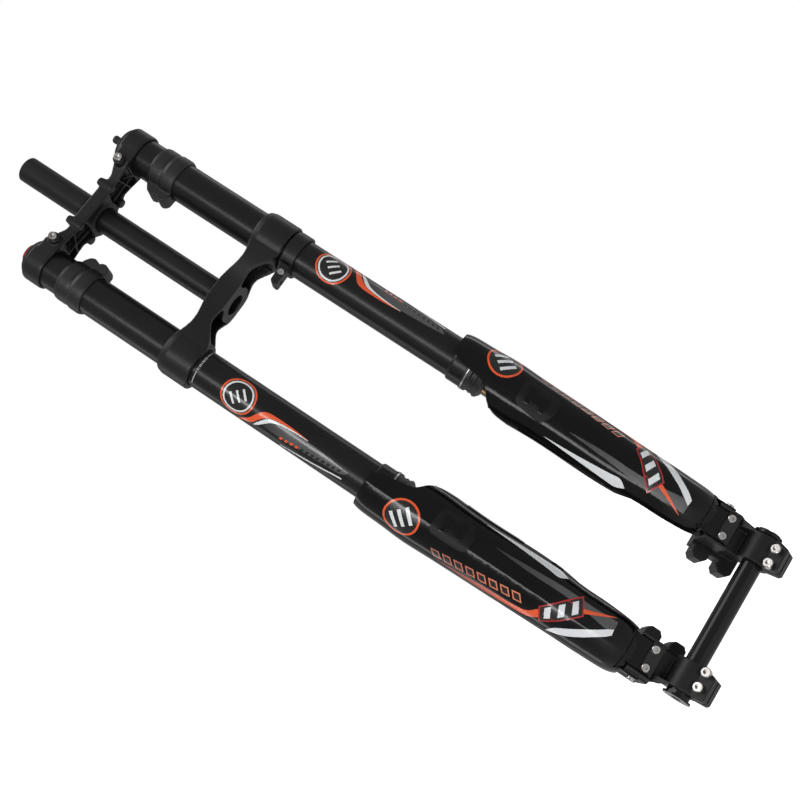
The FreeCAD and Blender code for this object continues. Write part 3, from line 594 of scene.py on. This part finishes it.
class FORK_OT_travel_mark(bpy.types.Operator):
    """Prints the fine setting line and its ticks under the lower crown, on the right tube"""
    bl_idname = "fork.travel_mark"
    bl_label = "Travel mark"

    def execute(self, context):
        shapes = []
        for first, last in ((7.5, 22), (-21, -11.5)):
            shapes.append(blade([((first, -44.6), (first, -45.2)), ((last, -44.6), (last, -45.2))]))
        for rows in marks((5.4, -45), (-9.4, -45), 9, (0, -1.1), (0.3, 0)):
            shapes.append(blade(rows))
        film(context, "travel_mark", shapes, "right", "upper_tube", 0, "graphic_white")
        return {"FINISHED"}


# ---------------------------------------------------------------- guard mouldings
def moulding(name, shapes, side, thick, material, rounding):
    """Raised moulding on a guard, with rounded edges."""
    piece = on_leg(name, shapes, side, "guard", thick / 2 - 0.1 * MM, thick)
    modifier(piece, "BEVEL", width=rounding, segments=3, limit_method="ANGLE",
             angle_limit=BEVEL_ANGLE)
    done(piece, "lower_unit", "guard_black", material)


class FORK_OT_guard_mouldings(bpy.types.Operator):
    """Adds the strap pad, its buckle, the inner edge's bead and the lip to both guards"""
    bl_idname = "fork.guard_mouldings"
    bl_label = "Guard mouldings"

    def execute(self, context):
        pad = [
            level(-323, -4, 7), level(-326, -13, 12), level(-340, -16.6, 13), level(-356, -17.6, 12.6),
            level(-361, -12, 11.5), level(-365, -4, 9),
        ]
        bar = level(-352, 1.2, -7.4), level(-334, 3.0, -5.6)
        heads = [
            [level(-331.5, -9.4, 6.4), level(-337, -9.6, 6.2)],
            [level(-348.5, -10.4, 4.2), level(-354, -10.6, 4.0)],
        ]
        bead = [
            level(-303, -34.6, -33), level(-330, -37.4, -35.6), level(-380, -37.6, -36),
            level(-430, -37.2, -35.8), level(-452, -36.4, -35),
        ]
        lip = [((-30, -541), (-30, -539)), ((0, -541), (0, -539)), ((30, -541), (30, -539))]
        for side, _ in SIDES:
            moulding("guard_pad", [blade(pad, 8, 16)], side, 0.9 * MM, "guard_matte", 0.25 * MM)
            buckle = [blade(rows, 8, 12) for rows in (*heads, list(bar))]
            moulding("guard_buckle", buckle, side, 3.0 * MM, "guard_black", 0.35 * MM)
            moulding("guard_bead", [blade(bead, 10, 4)], side, 1.3 * MM, "guard_black", 0.35 * MM)
            moulding("guard_lip", [blade(lip, 24, 4)], side, 1.0 * MM, "guard_black", 0.3 * MM)
        return {"FINISHED"}


# ---------------------------------------------------------------- stage
def strip_light(name, place, target, width, height, power):
    """Tall soft light that faces the target, its long side upright."""
    data = bpy.data.lights.new(name, "AREA")
    data.shape = "RECTANGLE"
    data.size = width
    data.size_y = height
    data.energy = power
    light = bpy.data.objects.new(name, data)
    bpy.context.scene.collection.objects.link(light)
    light.location = place
    facing = Vector(target) - Vector(place)
    light.rotation_euler = facing.to_track_quat("-Z", "Y").to_euler()


class FORK_OT_stage(bpy.types.Operator):
    """Adds the camera, the pale floor, the plain surround and the soft lights"""
    bl_idname = "fork.stage"
    bl_label = "Stage"

    def execute(self, context):
        scene = context.scene
        studio = scene.fork_studio
        data = bpy.data.cameras.new("camera")
        data.sensor_width = 36.0
        data.lens = 43.42
        camera = bpy.data.objects.new("camera", data)
        scene.collection.objects.link(camera)
        camera.matrix_world = Matrix((
            (0.5561, 0.8029, -0.2147, -0.2019),
            (-0.0219, -0.2441, -0.9695, -0.9654),
            (-0.8308, 0.5439, -0.1182, -0.3426),
            (0, 0, 0, 1),
        ))
        scene.camera = camera
        self.floor(studio.floor_height)
        self.surround(scene, studio.surround)
        centre = (0, 0, -0.2)
        power = studio.strip_power
        strip_light("key_strip", (-1.05, -1.45, -0.1), centre, 0.3, 1.9, power)
        strip_light("rim_strip", (-1.3, 0.75, -0.1), centre, 0.3, 1.9, power * 0.2)
        strip_light("far_strip", (1.5, 0.55, 0.0), centre, 0.3, 1.9, power * 0.2)
        strip_light("top_panel", (0.1, -0.5, 1.6), centre, 1.4, 1.4, power)
        return {"FINISHED"}

    @staticmethod
    def floor(height):
        bpy.ops.mesh.primitive_plane_add(size=14, location=(0, 0, height))
        floor = bpy.context.object
        floor.name = "floor"
        made, tree, shader, where = new_material("floor")
        grain = noise(tree, where, 40.0)
        tree.links.new(tint(tree, grain, (0.90, 0.90, 0.90), (0.93, 0.93, 0.93)),
                       shader.inputs["Base Color"])
        shader.inputs["Roughness"].default_value = 0.9
        shader.inputs["Emission Color"].default_value = (1, 1, 1, 1)
        path = tree.nodes.new("ShaderNodeLightPath")
        tree.links.new(spread(tree, path.outputs["Is Camera Ray"], 0.0, 0.93, 0.0, 1.0),
                       shader.inputs["Emission Strength"])
        floor.data.materials.append(made)

    @staticmethod
    def surround(scene, strength):
        """White where the camera looks straight at it, dimmer as a source of light."""
        world = bpy.data.worlds.new("studio")
        scene.world = world
        world.use_nodes = True
        tree = world.node_tree
        sheds = tree.nodes["Background"]
        sheds.inputs["Color"].default_value = (1, 1, 1, 1)
        sheds.inputs["Strength"].default_value = strength
        seen = tree.nodes.new("ShaderNodeBackground")
        seen.inputs["Color"].default_value = (1, 1, 1, 1)
        seen.inputs["Strength"].default_value = 1.0
        path = tree.nodes.new("ShaderNodeLightPath")
        mix = tree.nodes.new("ShaderNodeMixShader")
        tree.links.new(path.outputs["Is Camera Ray"], mix.inputs[0])
        tree.links.new(sheds.outputs[0], mix.inputs[1])
        tree.links.new(seen.outputs[0], mix.inputs[2])
        tree.links.new(mix.outputs[0], tree.nodes["World Output"].inputs["Surface"])
        scene.view_settings.view_transform = "Standard"


# ---------------------------------------------------------------- panel and registration
STEPS = (
    FORK_OT_finishes, FORK_OT_castings, FORK_OT_guard_mouldings, FORK_OT_guard_films,
    FORK_OT_tube_films, FORK_OT_travel_mark, FORK_OT_stage,
)
SETTINGS = (
    ("fork_colours", ForkColours), ("fork_casting", ForkCasting), ("fork_film", ForkFilm),
    ("fork_studio", ForkStudio),
)


class FORK_PT_panel(bpy.types.Panel):
    """Lists the fork's steps and settings"""
    bl_idname = "FORK_PT_panel"
    bl_label = "Double-crown fork"
    bl_space_type = "VIEW_3D"
    bl_region_type = "UI"
    bl_category = "Fork"

    def draw(self, context):
        for name, group in SETTINGS:
            box = self.layout.box()
            box.label(text=group.__doc__)
            for field in group.__annotations__:
                box.prop(getattr(context.scene, name), field)
        for step in STEPS:
            self.layout.operator(step.bl_idname)


def register():
    for _, group in SETTINGS:
        bpy.utils.register_class(group)
    for name, group in SETTINGS:
        setattr(bpy.types.Scene, name, PointerProperty(type=group))
    for operator in STEPS:
        bpy.utils.register_class(operator)
    bpy.utils.register_class(FORK_PT_panel)


def unregister():
    bpy.utils.unregister_class(FORK_PT_panel)
    for operator in reversed(STEPS):
        bpy.utils.unregister_class(operator)
    for name, group in reversed(SETTINGS):
        delattr(bpy.types.Scene, name)
        bpy.utils.unregister_class(group)


def main():
    register()
    for step in STEPS:
        group, action = step.bl_idname.split(".")
        getattr(getattr(bpy.ops, group), action)()


if __name__ == "__main__":
    main()
